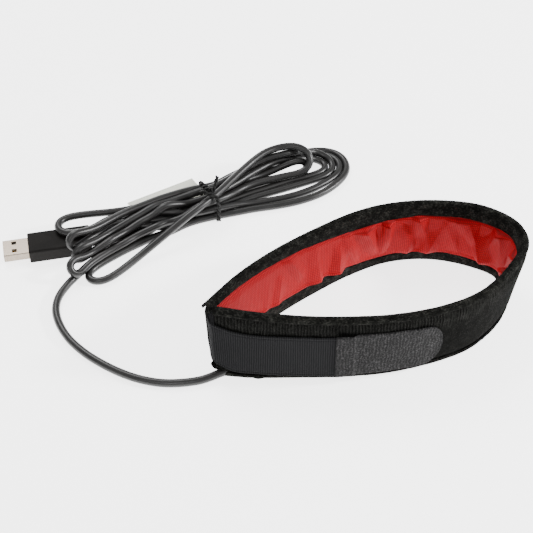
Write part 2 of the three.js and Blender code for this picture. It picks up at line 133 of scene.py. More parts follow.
LOWER_LINE = [
    (-77.1, -11.8), (-64.2, -17.4), (-43, -24.1), (-22, -30.2), (-2.2, -33.8), (19.2, -34.4),
    (40, -31.3), (59.3, -20.4), (71.4, -5.8), (74.2, 8.1), (64, 20.8), (46.5, 31.9),
    (26.1, 36.2), (6.5, 33.8), (-13.7, 27.9), (-39, 18), (-60, 6.5), (-78.6, -7.4),
]
UPPER_LINE = [
    (-77.4, -4.9), (-62, -13.6), (-43, -22.4), (-22, -29.7), (-2.2, -34.6), (19.6, -36.4),
    (42.3, -33), (62.4, -21.6), (76.2, -8.2), (78.3, 5.5), (68, 21.6), (47.5, 32.4),
    (25.6, 37.1), (8.2, 36.6), (-14.5, 31), (-38.6, 22.7), (-59.1, 12.7), (-79.8, -1.4),
]
HEIGHT = 38.0
# Half the strip's thickness, and the air between pieces that lie on one another.
STRIP_HALF = 2.2
GAP = 0.3


def resampled(points, at):
    """The line through the points, taken where the middle line has its own points."""
    line, own = catmull(points, 0.25)
    return np.column_stack([np.interp(at, own, line[:, k]) for k in range(2)])


middle_line, middle_at = catmull((np.array(LOWER_LINE) + np.array(UPPER_LINE)) / 2, 0.25)
middle_s = lengths(middle_line)
LENGTH = middle_s[-1]
lower_plan = resampled(LOWER_LINE, middle_at)
upper_plan = resampled(UPPER_LINE, middle_at)
ways = np.gradient(middle_line, axis=0)
ways /= np.linalg.norm(ways, axis=1)[:, None]


def on_strip(s, z, out):
    """Points of the strip, mm: distance along it, height, and distance outwards."""
    s, z, out = np.broadcast_arrays(*(np.asarray(v, float) for v in (s, z, out)))
    held = np.clip(s, 0, LENGTH)
    pick = lambda table, k: np.interp(held, middle_s, table[:, k])
    share, past = z / HEIGHT, s - held
    wx, wy = pick(ways, 0), pick(ways, 1)
    x = pick(lower_plan, 0) * (1 - share) + pick(upper_plan, 0) * share
    y = pick(lower_plan, 1) * (1 - share) + pick(upper_plan, 1) * share
    return np.stack([x + past * wx + out * wy, y + past * wy - out * wx, z], axis=-1)


def make_mesh(name, vertices, faces, uvs, material):
    mesh = bpy.data.meshes.new(name)
    mesh.from_pydata(((np.asarray(vertices) + DRAWN_FROM) * MM).tolist(), [], faces)
    if uvs is not None:
        layer = mesh.uv_layers.new(name="UVMap")
        picked = np.asarray(uvs, float)[[i for face in faces for i in face]]
        layer.data.foreach_set("uv", picked.ravel())
    mesh.materials.append(material)
    mesh.polygons.foreach_set("use_smooth", [True] * len(mesh.polygons))
    mesh.update()
    made = bpy.data.objects.new(name, mesh)
    bpy.context.scene.collection.objects.link(made)
    return made


def ring_mesh(name, grid, material, uvs):
    """A closed body through the rings grid[i][j], with its two ends closed."""
    n, m = grid.shape[:2]
    index = np.arange(n * m).reshape(n, m)
    nxt = np.roll(index, -1, axis=1)
    quads = np.stack([index[:-1], nxt[:-1], nxt[1:], index[1:]], axis=-1).reshape(-1, 4)
    points = grid.reshape(-1, 3)
    a, b, c, d = (points[quads[:, k]] for k in range(4))
    volume = (np.cross(b - a, c - a) * (a + b + c)).sum()
    volume += (np.cross(c - a, d - a) * (a + c + d)).sum()
    faces = quads.tolist() + [index[0][::-1].tolist(), index[-1].tolist()]
    if volume < 0:
        faces = [face[::-1] for face in faces]
    return make_mesh(name, points, faces, uvs.reshape(-1, 2), material)


def strip_layer(name, stations, heights, outs, material):
    """A layer of the strip from its rings of heights and distances outwards."""
    heights, outs = np.broadcast_arrays(heights, outs)
    grid = on_strip(stations[:, None], heights, outs)
    step = np.hypot(np.diff(heights[0]), np.diff(outs[0]))
    around = np.concatenate([[0], np.cumsum(step)])
    uvs = np.stack(np.broadcast_arrays(stations[:, None] * MM, around[None] * MM), axis=-1)
    return ring_mesh(name, grid, material, uvs)


def dress(made, slot, *nodes):
    """The piece stands for these CAD nodes and rides on the row's one body."""
    if nodes:
        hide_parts(*nodes)
    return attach(made, "root")


# Materials

class Finish:
    """A material and the nodes that it is made of."""

    def __init__(self, name, **inputs):
        self.material = bpy.data.materials.new(name)
        self.material.use_nodes = True
        self.tree = self.material.node_tree
        self.shader = self.tree.nodes["Principled BSDF"]
        for key, value in inputs.items():
            self.set(key.replace("_", " "), value)

    def plug(self, socket, value):
        if hasattr(value, "is_output"):
            self.tree.links.new(value, socket)
        elif hasattr(value, "__len__") and len(value) == 3 and socket.type == "RGBA":
            socket.default_value = (*value, 1)
        else:
            socket.default_value = value

    def set(self, key, value):
        self.plug(self.shader.inputs[key], value)

    def node(self, kind, inputs, output=0, **settings):
        made = self.tree.nodes.new(kind)
        for key, value in settings.items():
            setattr(made, key, value)
        for key, value in inputs.items():
            self.plug(made.inputs[key], value)
        return made.outputs[output]

    def math(self, operation, a, b=0.0):
        return self.node("ShaderNodeMath", {0: a, 1: b}, operation=operation)

    def add(self, *values):
        total = values[0]
        for value in values[1:]:
            total = self.math("ADD", total, value)
        return total

    def uv(self, scale=(1, 1, 1), turn=0.0):
        place = self.node("ShaderNodeUVMap", {}, uv_map="UVMap")
        inputs = {"Vector": place, "Scale": scale, "Rotation": (0, 0, turn)}
        return self.node("ShaderNodeMapping", inputs)

    def local(self, scale=(1, 1, 1)):
        place = self.node("ShaderNodeTexCoord", {}, output="Object")
        return self.node("ShaderNodeMapping", {"Vector": place, "Scale": scale})

    def noise(self, vector, scale, detail=2.0, roughness=0.5):
        inputs = {"Vector": vector, "Scale": scale, "Detail": detail, "Roughness": roughness}
        return self.node("ShaderNodeTexNoise", inputs)

    def cells(self, vector, scale):
        return self.node("ShaderNodeTexVoronoi", {"Vector": vector, "Scale": scale})

    def wave(self, vector, scale, distortion=0.0, direction="X"):
        inputs = {"Vector": vector, "Scale": scale, "Distortion": distortion, "Detail": 1.0}
        return self.node("ShaderNodeTexWave", inputs, output=1, bands_direction=direction)

    def ramp(self, value, stops):
        made = self.tree.nodes.new("ShaderNodeValToRGB")
        elements = made.color_ramp.elements
        while len(elements) < len(stops):
            elements.new(0.5)
        for element, (at, color) in zip(elements, stops):
            element.position = at
            element.color = (*color, 1)
        self.plug(made.inputs[0], value)
        return made.outputs[0]

    def bump(self, height, strength, distance):
        inputs = {"Height": height, "Strength": strength, "Distance": distance}
        self.set("Normal", self.node("ShaderNodeBump", inputs))


def pile_material():
    made = Finish("loop_pile", Roughness=1.0, Sheen_Weight=0.005, Sheen_Roughness=0.6)
    made.set("Specular IOR Level", 0.02)
    loops = made.cells(made.local(), 2300)
    patches = made.noise(made.local(), 420, 3.0, 0.6)
    gathers = made.wave(made.uv(), 221, 2.6)
    height = made.node("ShaderNodeSeparateXYZ", {"Vector": made.uv()}, 1)
    near_seam = made.node("ShaderNodeMapRange", {0: height, 1: 0.020, 2: 0.026})
    ribs = made.math("MULTIPLY", gathers, made.math("MULTIPLY", near_seam, 0.24))
    tone = made.add(
        made.math("MULTIPLY", loops, 0.55), made.math("MULTIPLY", patches, 0.45), ribs,
    )
    stops = [(0.25, (0.0012, 0.0012, 0.0010)), (0.55, (0.0038, 0.0038, 0.0034))]
    stops.append((0.9, (0.018, 0.018, 0.0165)))
    made.set("Base Color", made.ramp(tone, stops))
    made.bump(tone, 0.8, 0.0005)
    return made.material


def binding_material():
    made = Finish("binding", Roughness=1.0, Sheen_Weight=0.008, Sheen_Roughness=0.7)
    made.set("Specular IOR Level", 0.02)
    nap = made.noise(made.uv((1, 1.6, 1)), 950, 4.0, 0.8)
    patches = made.noise(made.local(), 300, 2.0, 0.5)
    tone = made.add(made.math("MULTIPLY", nap, 0.8), made.math("MULTIPLY", patches, 0.35))
    stops = [(0.44, (0.0012, 0.0012, 0.0010)), (0.58, (0.0055, 0.0055, 0.0048))]
    stops.append((0.72, (0.034, 0.034, 0.030)))
    made.set("Base Color", made.ramp(tone, stops))
    made.bump(tone, 0.9, 0.0006)
    return made.material


def elastic_material():
    made = Finish("elastic", Roughness=0.9, Sheen_Weight=0.01, Sheen_Roughness=0.5)
    made.set("Specular IOR Level", 0.06)
    ribs = made.wave(made.uv(), 299, 0.8)
    picks = made.wave(made.uv(), 480, 0.3, "Y")
    speck = made.noise(made.uv(), 1700, 2.0, 0.6)
    height = made.add(
        made.math("MULTIPLY", ribs, 0.55), made.math("MULTIPLY", picks, 0.2),
        made.math("MULTIPLY", speck, 0.5),
    )
    stops = [(0.3, (0.0043, 0.0043, 0.0045)), (0.62, (0.0085, 0.0085, 0.0090))]
    stops.append((0.95, (0.0160, 0.0160, 0.0170)))
    made.set("Base Color", made.ramp(height, stops))
    made.bump(height, 0.55, 0.0004)
    return made.material


def hook_material():
    made = Finish("hook_tape", Roughness=0.8)
    made.set("Specular IOR Level", 0.1)
    hooks = made.cells(made.uv((1, 1.25, 1)), 1500)
    rows = made.wave(made.uv(), 210, 6.0)
    fine = made.noise(made.uv(), 2600, 2.0, 0.7)
    height = made.add(
        made.math("MULTIPLY", hooks, 0.7), made.math("MULTIPLY", rows, 0.22),
        made.math("MULTIPLY", fine, 0.3),
    )
    stops = [(0.3, (0.0046, 0.0045, 0.0045)), (0.6, (0.0118, 0.0115, 0.0116))]
    stops.append((0.95, (0.040, 0.039, 0.0395)))
    made.set("Base Color", made.ramp(height, stops))
    made.bump(height, 0.8, 0.0005)
    return made.material


def lining_material():
    made = Finish("lining", Roughness=0.62)
    made.set("Specular IOR Level", 0.12)
    warp = made.wave(made.uv(), 330, 0.4)
    weft = made.wave(made.uv(), 330, 0.4, "Y")
    weave = made.math("MULTIPLY", warp, weft)
    slub = made.noise(made.uv((1, 6, 1)), 500, 2.0, 0.6)
    height = made.add(made.math("MULTIPLY", weave, 0.7), made.math("MULTIPLY", slub, 0.45))
    stops = [(0.1, (0.13, 0.0001, 0.0016)), (0.5, (0.29, 0.0002, 0.0032))]
    stops.append((0.95, (0.52, 0.0010, 0.009)))
    made.set("Base Color", made.ramp(height, stops))
    made.bump(height, 0.55, 0.0003)
    return made.material


def cable_material():
    made = Finish("cable", Roughness=0.38)
    made.set("Specular IOR Level", 0.42)
    grain = made.noise(made.local(), 2600, 2.0, 0.6)
    smear = made.noise(made.local(), 60, 3.0, 0.6)
    stops = [(0.3, (0.006, 0.0058, 0.0057)), (0.75, (0.0125, 0.012, 0.0117))]
    made.set("Base Color", made.ramp(smear, stops))
    made.set("Roughness", made.node("ShaderNodeMapRange", {0: smear, 3: 0.3, 4: 0.46}))
    made.bump(grain, 0.12, 0.0001)
    return made.material


def tie_material():
    made = Finish("tie", Roughness=0.55)
    made.set("Specular IOR Level", 0.15)
    stops = [(0.3, (0.003, 0.003, 0.003)), (0.7, (0.010, 0.0098, 0.0095))]
    made.set("Base Color", made.ramp(made.noise(made.local(), 900), stops))
    return made.material


def label_material():
    made = Finish("label", Roughness=0.55)
    fibre = made.noise(made.local((1, 1, 4)), 700, 3.0, 0.6)
    stops = [(0.3, (0.66, 0.67, 0.58)), (0.7, (0.76, 0.77, 0.68))]
    made.set("Base Color", made.ramp(fibre, stops))
    made.bump(fibre, 0.1, 0.0001)
    return made.material


def grip_material():
    made = Finish("grip", Roughness=0.62)
    made.set("Specular IOR Level", 0.12)
    grain = made.noise(made.local(), 2400, 3.0, 0.65)
    stops = [(0.35, (0.0040, 0.0034, 0.0029)), (0.7, (0.0092, 0.0080, 0.0070))]
    made.set("Base Color", made.ramp(grain, stops))
    made.bump(grain, 0.35, 0.0002)
    return made.material


def shell_material():
    made = Finish("shell", Metallic=1.0, Roughness=0.3)
    brushed = made.noise(made.local((1, 14, 1)), 700, 3.0, 0.6)
    stops = [(0.3, (0.25, 0.205, 0.165)), (0.7, (0.33, 0.285, 0.235))]
    made.set("Base Color", made.ramp(brushed, stops))
    made.set("Roughness", made.node("ShaderNodeMapRange", {0: brushed, 3: 0.24, 4: 0.4}))
    return made.material


def plain_material(name, color, rough, metal=0.0, grain=1800):
    made = Finish(name, Roughness=rough, Metallic=metal)
    speck = made.noise(made.local(), grain, 2.0, 0.5)
    dark = tuple(0.85 * c for c in color)
    made.set("Base Color", made.ramp(speck, [(0.35, dark), (0.65, color)]))
    return made.material


FINISHES = {
    "loop_pile": pile_material(),
    "binding": binding_material(),
    "elastic": elastic_material(),
    "hook_tape": hook_material(),
    "lining": lining_material(),
    "cable": cable_material(),
    "tie": tie_material(),
    "label": label_material(),
    "grip": grip_material(),
    "shell": shell_material(),
    "tongue": plain_material("tongue", (0.62, 0.62, 0.58), 0.45),
    "contact": plain_material("contact", (0.66, 0.42, 0.11), 0.25, 1.0),
    "foam": plain_material("foam", (0.1, 0.1, 0.097), 0.95),
    "heating_wire": plain_material("heating_wire", (0.22, 0.02, 0.01), 0.45),
    "lead_red": plain_material("lead_red", (0.3, 0.008, 0.008), 0.4),
    "lead_black": plain_material("lead_black", (0.006, 0.006, 0.006), 0.4),
    "sleeve": plain_material("sleeve", (0.5, 0.5, 0.48), 0.35, 1.0),
}
for part in frame["record"]["subparts"]:
    node = frame["nodes"][part["node"]]
    node.data.materials.clear()
    node.data.materials.append(FINISHES[part["material_slot"]])


# Cable and hank

DIAMETER = 4.0
# The loose cable: over the floor from the strip's sharp end to the hank, in metres.
LEAD = [
    (-0.0828, -0.0137), (-0.0878, -0.0141), (-0.0970, -0.0128), (-0.1053, -0.0101),
    (-0.1142, -0.0048), (-0.1221, 0.0022), (-0.1298, 0.0113), (-0.1355, 0.0199),
    (-0.1406, 0.0310), (-0.1430, 0.0426), (-0.1427, 0.0521), (-0.1398, 0.0599),
    (-0.1338, 0.0674), (-0.1273, 0.0731),
]
# Its runs through the hank in order, mm. Each run crosses the tie near x -47.5.
HANK_RUNS = [
    (-118, 80.5, 2), (-102, 90, 2), (-84, 98.6, 2), (-66, 104.4, 2), (-47.5, 106.8, 2.1),
    (-32, 113, 2), (-17, 121.5, 2), (0, 129, 2), (17.8, 130.3, 2), (25.3, 126, 2),
    (28.6, 120.1, 2), (29, 112.5, 2), (26, 105.1, 2), (19.8, 99.4, 2), (11.3, 95.4, 2),
    (-0.5, 92.9, 2), (-13.6, 92.7, 2), (-30, 94.4, 2), (-40.9, 95.4, 2), (-47.5, 94.5, 2.1),
    (-59.9, 97, 2), (-74.8, 92.5, 2), (-89.4, 87.8, 2), (-104, 82.1, 2), (-113.3, 78.2, 2),
    (-119.1, 75.6, 2), (-123, 72.7, 2), (-122.9, 68.3, 2), (-119.2, 65.3, 2), (-112.9, 66, 2),
    (-104.1, 70.3, 2.3), (-95, 75.2, 3.5), (-85.9, 79.4, 6), (-76.8, 83.3, 8.6),
    (-69.4, 86.4, 11), (-61.4, 89.7, 13.2), (-54.4, 93.5, 14), (-47.7, 97.8, 14),
    (-40.4, 103.8, 13.8), (-30.2, 111.8, 14), (-19.5, 118.9, 14.6), (-9.6, 122.8, 15.2),
    (-1.7, 123.9, 15.6), (4.4, 122.9, 15.6), (8.4, 119.3, 15), (10.7, 115.4, 13),
    (11.4, 113.2, 10), (9.2, 112, 7.6), (3.4, 111, 6.6), (-7.8, 110.4, 6.2), (-19.6, 109.7, 6.2),
    (-31.7, 107.3, 6.8), (-40.8, 103, 8.2), (-47.5, 98.2, 9.3), (-62.5, 96.4, 7.6),
    (-71.1, 95.2, 6.3), (-79.8, 93, 5.7), (-88.6, 90.4, 5.4), (-97.4, 87.1, 5.2),
    (-106.3, 82.7, 5.2), (-115.1, 78, 5.2), (-122.1, 74.4, 4.8), (-127.3, 71.9, 4.6),
    (-131, 70.4, 5.2), (-132.3, 71.2, 7), (-129.7, 71.9, 8.8), (-124.7, 74.9, 8.6),
    (-119.2, 79.6, 7), (-112.8, 83, 7.2), (-105, 87.3, 7.6), (-96.1, 91.4, 8.2),
    (-84.3, 95.8, 8.8), (-72.8, 98.7, 9.2), (-61.2, 101.1, 9.6), (-47.5, 102.2, 10.2),
    (-31.7, 110.6, 9), (-23.5, 115.3, 8.6), (-15.4, 119.2, 8.5), (-7, 121.7, 8.6),
    (1.8, 122, 8.4), (8.8, 121.8, 7), (15.8, 122.9, 4), (20.7, 121.5, 2.2), (22.2, 117.5, 2),
    (19.3, 114.3, 2), (13, 113.2, 2), (4.2, 111.6, 2), (-8, 109.7, 2), (-20.2, 107.8, 2),
    (-32.1, 106.2, 2), (-40.5, 104.4, 2.1), (-47.5, 102.7, 2.1), (-66, 100.4, 2),
    (-86, 93.2, 2.2), (-100, 88, 3.6), (-119.1, 84, 5.2), (-124.3, 81.1, 5.6),
    (-127.4, 79.6, 6.4), (-128.8, 80.6, 8.2), (-126.6, 80.9, 10.2), (-120.7, 83.5, 10.4),
    (-112.6, 87.8, 10), (-100.9, 93.1, 10), (-89.1, 97.8, 10.6), (-77.4, 101.5, 11),
    (-65.8, 104, 11.3), (-54.8, 106.2, 11.6), (-47.5, 106, 11.7), (-30.7, 114.1, 10.2),
    (-22.6, 118.1, 9.8), (-15, 120.3, 10.4), (-7, 121.7, 11.2), (1.9, 122.5, 11.5),
    (8.1, 123.4, 10), (14.6, 124.9, 6.6), (20.3, 125.6, 3.6), (24.9, 123.3, 2.2),
    (26.5, 117.8, 2), (23.9, 112.3, 2), (18.6, 109.2, 2), (11.7, 107.7, 2), (2.4, 106.2, 2),
    (-9.6, 104.8, 2), (-21.5, 103.6, 2), (-33.1, 102.8, 2), (-40.3, 101.3, 2.1),
    (-47.5, 98.6, 2.1), (-66, 96.4, 2), (-84, 94.5, 3.5), (-100.9, 99, 6.4), (-110, 93.2, 8.2),
    (-117.8, 87.9, 9.4), (-124.1, 84.8, 10.2), (-128, 84, 10.6), (-129.7, 84.9, 12.4),
    (-127.1, 85.4, 14.2), (-120.3, 88.3, 14.4), (-111.1, 93, 13.4), (-99.4, 98.8, 12.8),
    (-87.8, 102.7, 12.3), (-76.4, 105.3, 11.8), (-64.8, 107.8, 11.2), (-54.7, 110.6, 10.6),
    (-47.5, 109.8, 9.9), (-33.2, 117.3, 8), (-23.5, 122.8, 6), (-15.4, 126.5, 4),
    (-6.3, 129.1, 2.6), (2.3, 130.3, 2.1), (10.6, 130.2, 2), (19.4, 127.9, 2), (24.6, 123.2, 2.4),
    (28.6, 117.6, 2), (27.2, 110.2, 2), (16, 103.4, 2), (5.9, 99.7, 2), (-6.2, 97.9, 2),
    (-17.6, 98, 2), (-28.8, 98.5, 2.4), (-38.1, 97.4, 3.6), (-47.5, 96.5, 5.7), (-66, 96.8, 6),
    (-84, 99.2, 7.4), (-100, 101.8, 9), (-118.4, 94.6, 10.1), (-124.5, 95.5, 10.2),
    (-129.7, 98.2, 10.2), (-132.4, 101.8, 10.2), (-131.2, 105.2, 10.2), (-127.2, 107.3, 10.2),
    (-119.9, 108.1, 10.1), (-108.4, 107.3, 9.6), (-98, 106.5, 8.8), (-84, 108.2, 7.2),
    (-66, 107.2, 6.2), (-47.5, 104.7, 5.9), (-33.9, 111.3, 5.4), (-26.7, 114.3, 5.2),
    (-19.6, 116.8, 5.2), (-12.1, 118.7, 6), (-3.9, 118.9, 7), (3.3, 117.6, 7.4), (7.9, 115.7, 7),
    (10.6, 114.9, 4.4), (7.9, 115.5, 2), (-0.4, 115.1, 2), (-12.2, 114.7, 2), (-24.2, 113.3, 2.1),
    (-34.5, 109.3, 3.4), (-47.5, 100.6, 5.7), (-66, 98.6, 5.4), (-84, 96.6, 4.4), (-98, 95.4, 4),
    (-108, 94.8, 4), (-113.6, 94.7, 4), (-115.6, 94.6, 4),
]
PLUG_AT = np.array([-148.3, 97.9, 0.0])
PLUG_TURN = -0.096
GRIP = (32.0, 15.5, 8.0)
# The smallest radius wanted in a fold, and the distance wanted between the runs' middles.
TIGHTEST = 3.3
CLEAR = 4.08
EASING_ROUNDS = 400
# The loose length that the easing leaves where it is.
HELD_LENGTH = 150


def off_the_grip(line):
    """Lifts or shifts points of the line that would lie in the plug's grip."""
    c, s = math.cos(PLUG_TURN), math.sin(PLUG_TURN)
    d = line - PLUG_AT
    x, y = c * d[:, 0] + s * d[:, 1], -s * d[:, 0] + c * d[:, 1]
    reach, top = GRIP[1] / 2 + DIAMETER / 2 + 0.1, GRIP[2] + DIAMETER / 2 + 0.1
    inside = (x > -1) & (x < GRIP[0] + 0.2) & (np.abs(y) < reach) & (line[:, 2] < top)
    lift = inside & (top - line[:, 2] < reach - np.abs(y))
    line[lift, 2] = top
    aside = inside & ~lift
    y = np.where(aside, np.sign(y) * reach, y)
    line[aside, 0] = (PLUG_AT[0] + c * x - s * y)[aside]
    line[aside, 1] = (PLUG_AT[1] + s * x + c * y)[aside]
    return line


def eased_apart(line):
    """Parts of the line that would lie in one another move apart, and no fold stays too tight."""
    line, home, n = line.copy(), line.copy(), len(line)
    step = lengths(line)[-1] / (n - 1)
    held = np.zeros(n, bool)
    held[:int(HELD_LENGTH / step)] = True
    held[-3:] = True
    first, second = np.triu_indices(n, int(9 / step))
    chords = [
        (k, 2 * TIGHTEST * math.sin(k * step / (2 * TIGHTEST)))
        for k in range(2, int(math.pi * TIGHTEST / step) + 1)
    ]
    for r in range(EASING_ROUNDS):
        if r % 10 == 0:
            near = ((line[first] - line[second]) ** 2).sum(1) < (CLEAR + 3) ** 2
            a, b = first[near], second[near]
        d = line[a] - line[b]
        far = np.linalg.norm(d, axis=1) + 1e-9
        hit = far < CLEAR
        part = (0.5 * (CLEAR - far[hit]) / far[hit])[:, None] * d[hit]
        push, count = np.zeros_like(line), np.zeros(n)
        np.add.at(push, a[hit], part)
        np.add.at(push, b[hit], -part)
        np.add.at(count, a[hit], 1)
        np.add.at(count, b[hit], 1)
        for k, chord in chords:
            d = line[k:] - line[:-k]
            far = np.linalg.norm(d, axis=1) + 1e-9
            short = far < chord
            part = (0.5 * (chord - far) / far * short)[:, None] * d
            push[k:] += part
            push[:-k] -= part
            count[k:] += short
            count[:-k] += short
        push /= np.maximum(1, count)[:, None]
        fair = np.zeros_like(line)
        fair[2:-2] = (4 * (line[1:-3] + line[3:-1]) - line[:-4] - line[4:]) / 6 - line[2:-2]
        move = 0.8 * push + 0.5 * fair + 0.02 * (1 - r / EASING_ROUNDS) * (home - line)
        move[held] = 0
        line = line + move
        line[:, 2] = np.maximum(line[:, 2], DIAMETER / 2)
        line = off_the_grip(line)
    return line


cable_exit = on_strip(0, DIAMETER / 2, STRIP_HALF) + np.array([-0.4, 0.5, 0])
lead_points = np.array([(x / MM, y / MM, DIAMETER / 2) for x, y in LEAD]) - DRAWN_FROM
rough_line = catmull(np.vstack([cable_exit, lead_points, HANK_RUNS]), 1.0)[0]
cable_line = eased_apart(even(rough_line, 2.0))
# Its end lies inside the bottom tape.
sewn_in = on_strip((2.6, 1.2), DIAMETER / 2, (-0.5, 0.9))
cable_line = even(catmull(np.vstack([sewn_in, cable_line]), 0.5)[0], 1.25)


def round_cord(name, line, diameter, material, sides=3):
    """A round cord along the line of points, mm."""
    curve = bpy.data.curves.new(name, "CURVE")
    curve.dimensions = "3D"
    curve.bevel_depth = diameter / 2 * MM
    curve.bevel_resolution = sides
    curve.use_fill_caps = True
    spline = curve.splines.new("POLY")
    spline.points.add(len(line) - 1)
    placed = (line + DRAWN_FROM) * MM
    spline.points.foreach_set("co", np.column_stack([placed, np.ones(len(line))]).ravel())
    spline.use_smooth = True
    curve.materials.append(material)
    made = bpy.data.objects.new(name, curve)
    bpy.context.scene.collection.objects.link(made)
    return made


cable = round_cord("cable", cable_line, DIAMETER, FINISHES["cable"])
dress(cable, "cable", "cable_lead", "cable_hank")


# Twist tie: round the hank's waist and twisted together above it

TIE = 1.4
WIRE = 0.8 * TIE
WAIST_X = -49.9
KNOT_X = -50.6
# Where the tie crosses the hank at the back, and how far it leans over to the front.
TIE_X = -52.0
TIE_LEAN = 4.2


def hull_round(points):
    """The convex outline of points in a plane, anticlockwise."""
    points = sorted(map(tuple, points))
    sides = []
    for part in (points, points[::-1]):
        side = []
        for p in part:
            while len(side) > 1:
                (ax, ay), (bx, by) = side[-2:]
                if (bx - ax) * (p[1] - ay) - (by - ay) * (p[0] - ax) > 0:
                    break
                side.pop()
            side.append(p)
        sides += side[:-1]
    return np.array(sides)


def tie_loop():
    """The line round all the runs at the hank's waist, from the knot round to the knot."""
    waist = cable_line[np.abs(cable_line[:, 0] - WAIST_X) < 2.0][:, 1:]
    angle = np.linspace(0, 2 * math.pi, 24, endpoint=False)
    circle = np.column_stack([np.cos(angle), np.sin(angle)]) * (DIAMETER / 2 + TIE / 2 + 0.12)
    ring = hull_round((waist[:, None] + circle[None]).reshape(-1, 2))
    ring[:, 1] = np.maximum(ring[:, 1], TIE / 2)
    ring = even(np.vstack([ring, ring[:1]]), 1.0)[:-1]
    top = int(np.argmax(ring[:, 1] - 0.3 * ring[:, 0]))
    return np.roll(ring, -top, axis=0)


def twisted_pair(path, pitch, apart):
    """Two wires wound round one another along the path."""
    path = even(path, 0.45)
    way = np.gradient(path, axis=0)
    way /= np.linalg.norm(way, axis=1)[:, None]
    side = np.cross(way, (0.3, 0.2, 0.93))
    side /= np.linalg.norm(side, axis=1)[:, None]
    up = np.cross(side, way)
    turn = 2 * math.pi * lengths(path) / pitch
    wind = np.cos(turn)[:, None] * side + np.sin(turn)[:, None] * up
    return path + apart * wind, path - apart * wind


def twist_tie():
    ring = tie_loop()
    lean = TIE_X + TIE_LEAN * np.clip((108 - ring[:, 0]) / 16, 0, 1)
    loop = np.column_stack([lean, ring])[2:-2]
    knot = np.array([KNOT_X, loop[0][1] * 0.5 + loop[-1][1] * 0.5, loop[:, 2].max() + 0.5])
    free_end = [
        loop[-1], knot, knot + (1.6, 1.6, 1.6), knot + (3.4, 4.2, 3.6), knot + (5.2, 6.8, 5.4),
    ]
    curl = [
        loop[0], knot + (0.2, -1.4, 0.5), knot + (-2.2, -0.4, 1.4), knot + (-4.4, 1.8, 1.2),
        knot + (-4.6, 3.8, 0.4), knot + (-2.0, 4.2, 0.2), knot + (1.2, 2.2, 1.0),
    ]
    made = []
    for name, line, pitch in (
        ("tie_loop", loop, 7.5), ("tie_end", catmull(free_end, 0.5)[0], 5.2),
        ("tie_curl", catmull(curl, 0.5)[0], 6.5),
    ):
        for letter, wire in zip("ab", twisted_pair(line, pitch, TIE * 0.4)):
            piece = round_cord(f"{name}_{letter}", wire, WIRE, FINISHES["tie"], 2)
            made.append(dress(piece, "tie", *(["twist_tie"] if name == "tie_loop" else [])))
    return made


tie_pieces = twist_tie()


# Strip

# Half the thickness over the two tapes.
HALF = 2.1
GATHER_PITCH = 1.42
GATHER_DEPTH = 0.3
rng = np.random.default_rng(7)
# How far the tapes reach down or up on the inside: distance along the strip, reach in mm.
TOP_REACH = [
    (0, 7.2), (170, 8.2), (200, 8.4), (228, 8.2), (242, 9.2), (259, 9.8), (276, 8.2),
    (294, 6.2), (320, 5.2), (341, 4.4), (360, 4),
]
BOTTOM_REACH = [
    (0, 7.2), (187, 5.4), (212, 6.8), (245, 6.3), (270, 7.2), (283, 8.8), (300, 8), (320, 9),
    (360, 9),
]
# Height and distance outwards of the pile's face and of the lining's at rest.
PILE_FACE = [
    (3.1, 1.2), (3.6, 1.25), (4.8, 1.8), (7, 2.2), (31.5, 2.2), (33.6, 1.75), (34.6, 1.3),
    (35.1, 1.2),
]
LINING_FACE = [
    (3.1, -1.0), (4.6, -1.05), (6.4, -1.7), (9, -2.25), (29.5, -2.25), (31.8, -1.7), (34.9, -1.0),
]
# Distance along the strip, and how slack the lining is there.
LINING_SLACK = [
    (0, 0.2), (20, 0.5), (60, 0.8), (150, 1), (250, 1), (288, 0.85), (305, 0.3), (330, 0.08),
    (360, 0.06),
]


def looked_up(x, pairs):
    return np.interp(x, *zip(*pairs))


def bound_edge(name, slot, node, top):
    """A folded tape over the upper or under the lower edge, with an uneven napped face."""
    stations = spread(-0.6 if top else -2.0, LENGTH + (1.2 if top else 0.5), 720)
    reach = looked_up(stations, TOP_REACH if top else BOTTOM_REACH)[:, None]
    angle = np.linspace(0.12, math.pi - 0.12, 13)
    arc_rise = np.sin(angle) * HALF - HALF
    arc_out = np.cos(angle) * (HALF + 0.05)
    outer = [(-2.85, HALF - 0.55), (-2.7, HALF - 0.18), (-2.2, HALF + 0.02)]
    lip = [(0.0, -1.5), (0.05, -HALF + 0.35), (0.5, -HALF + 0.02), (1.6, -HALF - 0.02)]
    rise = [np.full_like(reach, r) for r, _ in outer]
    out = [o for _, o in outer]
    rise += [np.full_like(reach, r) for r in arc_rise]
    out += list(arc_out)
    rise += [-reach + r for r, _ in lip[::-1]]
    out += [o for _, o in lip[::-1]]
    for r, o in ((-4.2, -1.45), (-2.6, -1.4), (-0.9, -0.9), (-0.75, 0.6), (-1.4, 1.3)):
        rise.append(np.full_like(reach, r))
        out.append(o)
    rise, out = np.concatenate(rise, axis=1), np.array(out)[None]
    shape = (len(stations), rise.shape[1])
    lumps = smooth_noise(shape, (150, 7), rng) * 0.13 + smooth_noise(shape, (38, 3), rng) * 0.14
    outside = np.abs(out) > 1.62
    out = out * (1 + lumps / HALF * outside)
    if not top:
        out = out + 0.75 * bulge((stations[:, None] - 19.5) / 3.2) * (out > 1.6)
    made = strip_layer(name, stations, HEIGHT + rise if top else -rise, out, FINISHES[slot])
    return dress(made, slot, node)


bound_edge("top_tape", "binding", "top_binding", True)
bound_edge("bottom_tape", "binding", "bottom_binding", False)


